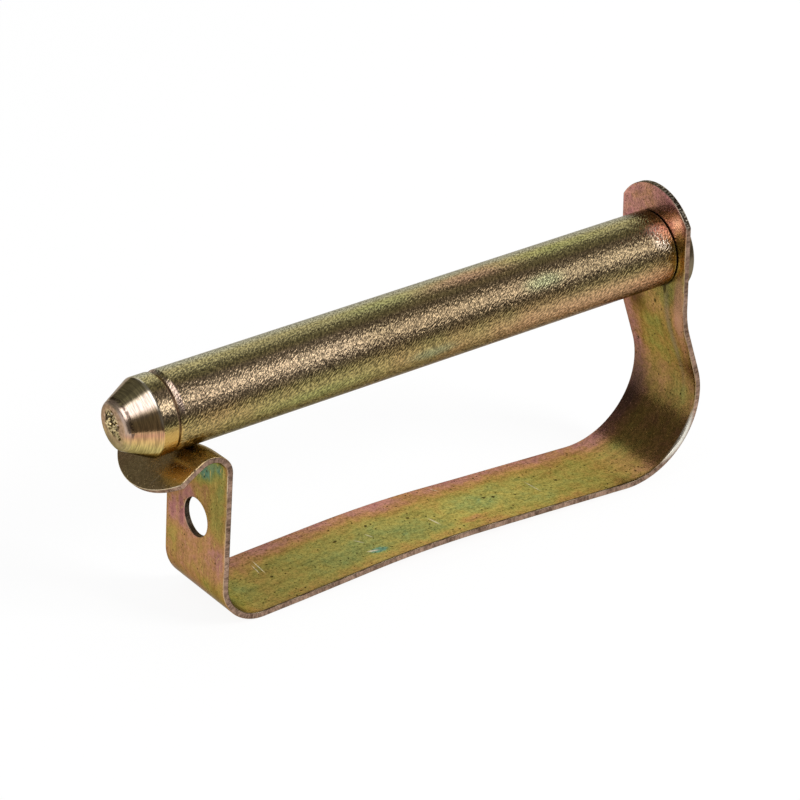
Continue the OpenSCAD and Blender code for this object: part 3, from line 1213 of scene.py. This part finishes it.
# %% Cards
CARD_LIFT = 0.5 * MM
REACH = 0.8
AIM = Vector((-40, 0, -10)) * MM
KEY_WAY = (0.5, -0.65, 0.57)
TOP_WAY = (-0.393, -0.31, 0.866)
SIDE = 2.0
FRONT = -1.2
FOOT = -0.1
TOP = 0.9
DARK_FLOOR = ((-SIDE, FRONT), (SIDE, FRONT), (SIDE, -0.085), (-SIDE, -0.085))
SHADOW_STRIP = ((-0.026, 0.020), (-0.026, 0.035), (-1.10, 1.16), (-1.10, 1.10))
FRONT_WALL = [(-SIDE, FRONT, FOOT), (SIDE, FRONT, FOOT), (SIDE, FRONT, TOP), (-SIDE, FRONT, TOP)]
CEILING = [(-SIDE, FRONT, TOP), (SIDE, FRONT, TOP), (SIDE, 0.65, TOP), (-SIDE, 0.65, TOP)]
BACK_LEFT = [(-2.5, 1, FOOT), (0.08, 1, FOOT), (0.08, 1, 1.7), (-2.5, 1, 1.7)]


def glowing(name, colour, strength):
    """A card's even brightness, in the tint of a colour."""
    material, shader, start = new_finish(name)
    shader.inputs["Base Color"].default_value = (0, 0, 0, 1)
    shader.inputs["Specular IOR Level"].default_value = 0.0
    shader.inputs["Emission Color"].default_value = (*colour, 1)
    shader.inputs["Emission Strength"].default_value = strength
    return material, shader, start


def aimed(way, spin):
    """The turn of a thing that stands this way from the object and looks at it."""
    return (-Vector(way)).to_track_quat("-Z", "Y") @ Quaternion((0, 0, 1), math.radians(spin))


def panel(name, way, width, height, glow, spin=0.0, fades=()):
    """The bright front of a softbox, which stands this way and may fade towards its two ends."""
    way = Vector(way).normalized()
    turn = aimed(way, spin)
    middle = AIM + way * REACH
    corners = [middle + turn @ Vector((a * width / 2, b * height / 2, 0)) for a, b in SQUARE]
    material, shader, start = glowing(name + "_glow", (1, 1, 1), glow)
    if fades:
        place = start.make("TexCoord", {}, {}, out="Object").moved(-middle)
        upward = {0: place, 1: turn @ Vector((0, 1, 0))}
        up = start.make("VectorMath", {"operation": "DOT_PRODUCT"}, upward, out="Value")
        up = up / (height / 2)
        bright = up.step(-1, fades[0] - 1) * up.step(1, 1 - fades[1])
        plug(bright.tint((0.12, 0.11, 0.10), (1, 1, 1)), shader, "Emission Color")
    return sheet(name, corners, material)


dark = glowing("dark_room", (1, 0.93, 0.85), 0.135)[0]
dim = glowing("dim_ceiling", (1, 0.95, 0.86), 0.21)[0]
cards = [
    sheet("card_front_floor", [on_floor(x, y, CARD_LIFT) for x, y in DARK_FLOOR], dark),
    sheet("card_back_strip", [on_floor(x, y, CARD_LIFT) for x, y in SHADOW_STRIP], dark),
    sheet("card_front", FRONT_WALL, dark),
    sheet("card_above", CEILING, dim),
    sheet("card_back_left", BACK_LEFT, dark),
    panel("key_panel", KEY_WAY, 0.5, 0.3, 2.75),
    panel("top_panel", TOP_WAY, 0.45, 0.92, 2.5, 42, (0.76, 0.4)),
]
for card in cards:
    card.visible_camera = False
    card.visible_diffuse = False
    card.visible_shadow = False
print("cards", [card.name for card in cards])

# %% [markdown]
# ## The lamp
# The light of the key softbox comes from a lamp of its own, which the metal does not mirror.
# So it lights only what is matt, here the floor, and gives the object its soft shadow there.

# %% Lamp
LAMP_SIZE = 0.3
LAMP_WATTS = 3.5

lamp_data = bpy.data.lights.new("key_lamp", "AREA")
lamp_data.shape = "RECTANGLE"
lamp_data.size = LAMP_SIZE
lamp_data.size_y = LAMP_SIZE
lamp_data.energy = LAMP_WATTS
lamp = bpy.data.objects.new("key_lamp", lamp_data)
lamp.location = AIM + Vector(KEY_WAY).normalized() * REACH
lamp.rotation_mode = "QUATERNION"
lamp.rotation_quaternion = aimed(KEY_WAY, 0.0)
lamp.visible_camera = False
lamp.visible_glossy = False
bpy.context.scene.collection.objects.link(lamp)
bpy.context.scene.view_settings.view_transform = "Standard"
print("lamp power in watts", lamp_data.energy)
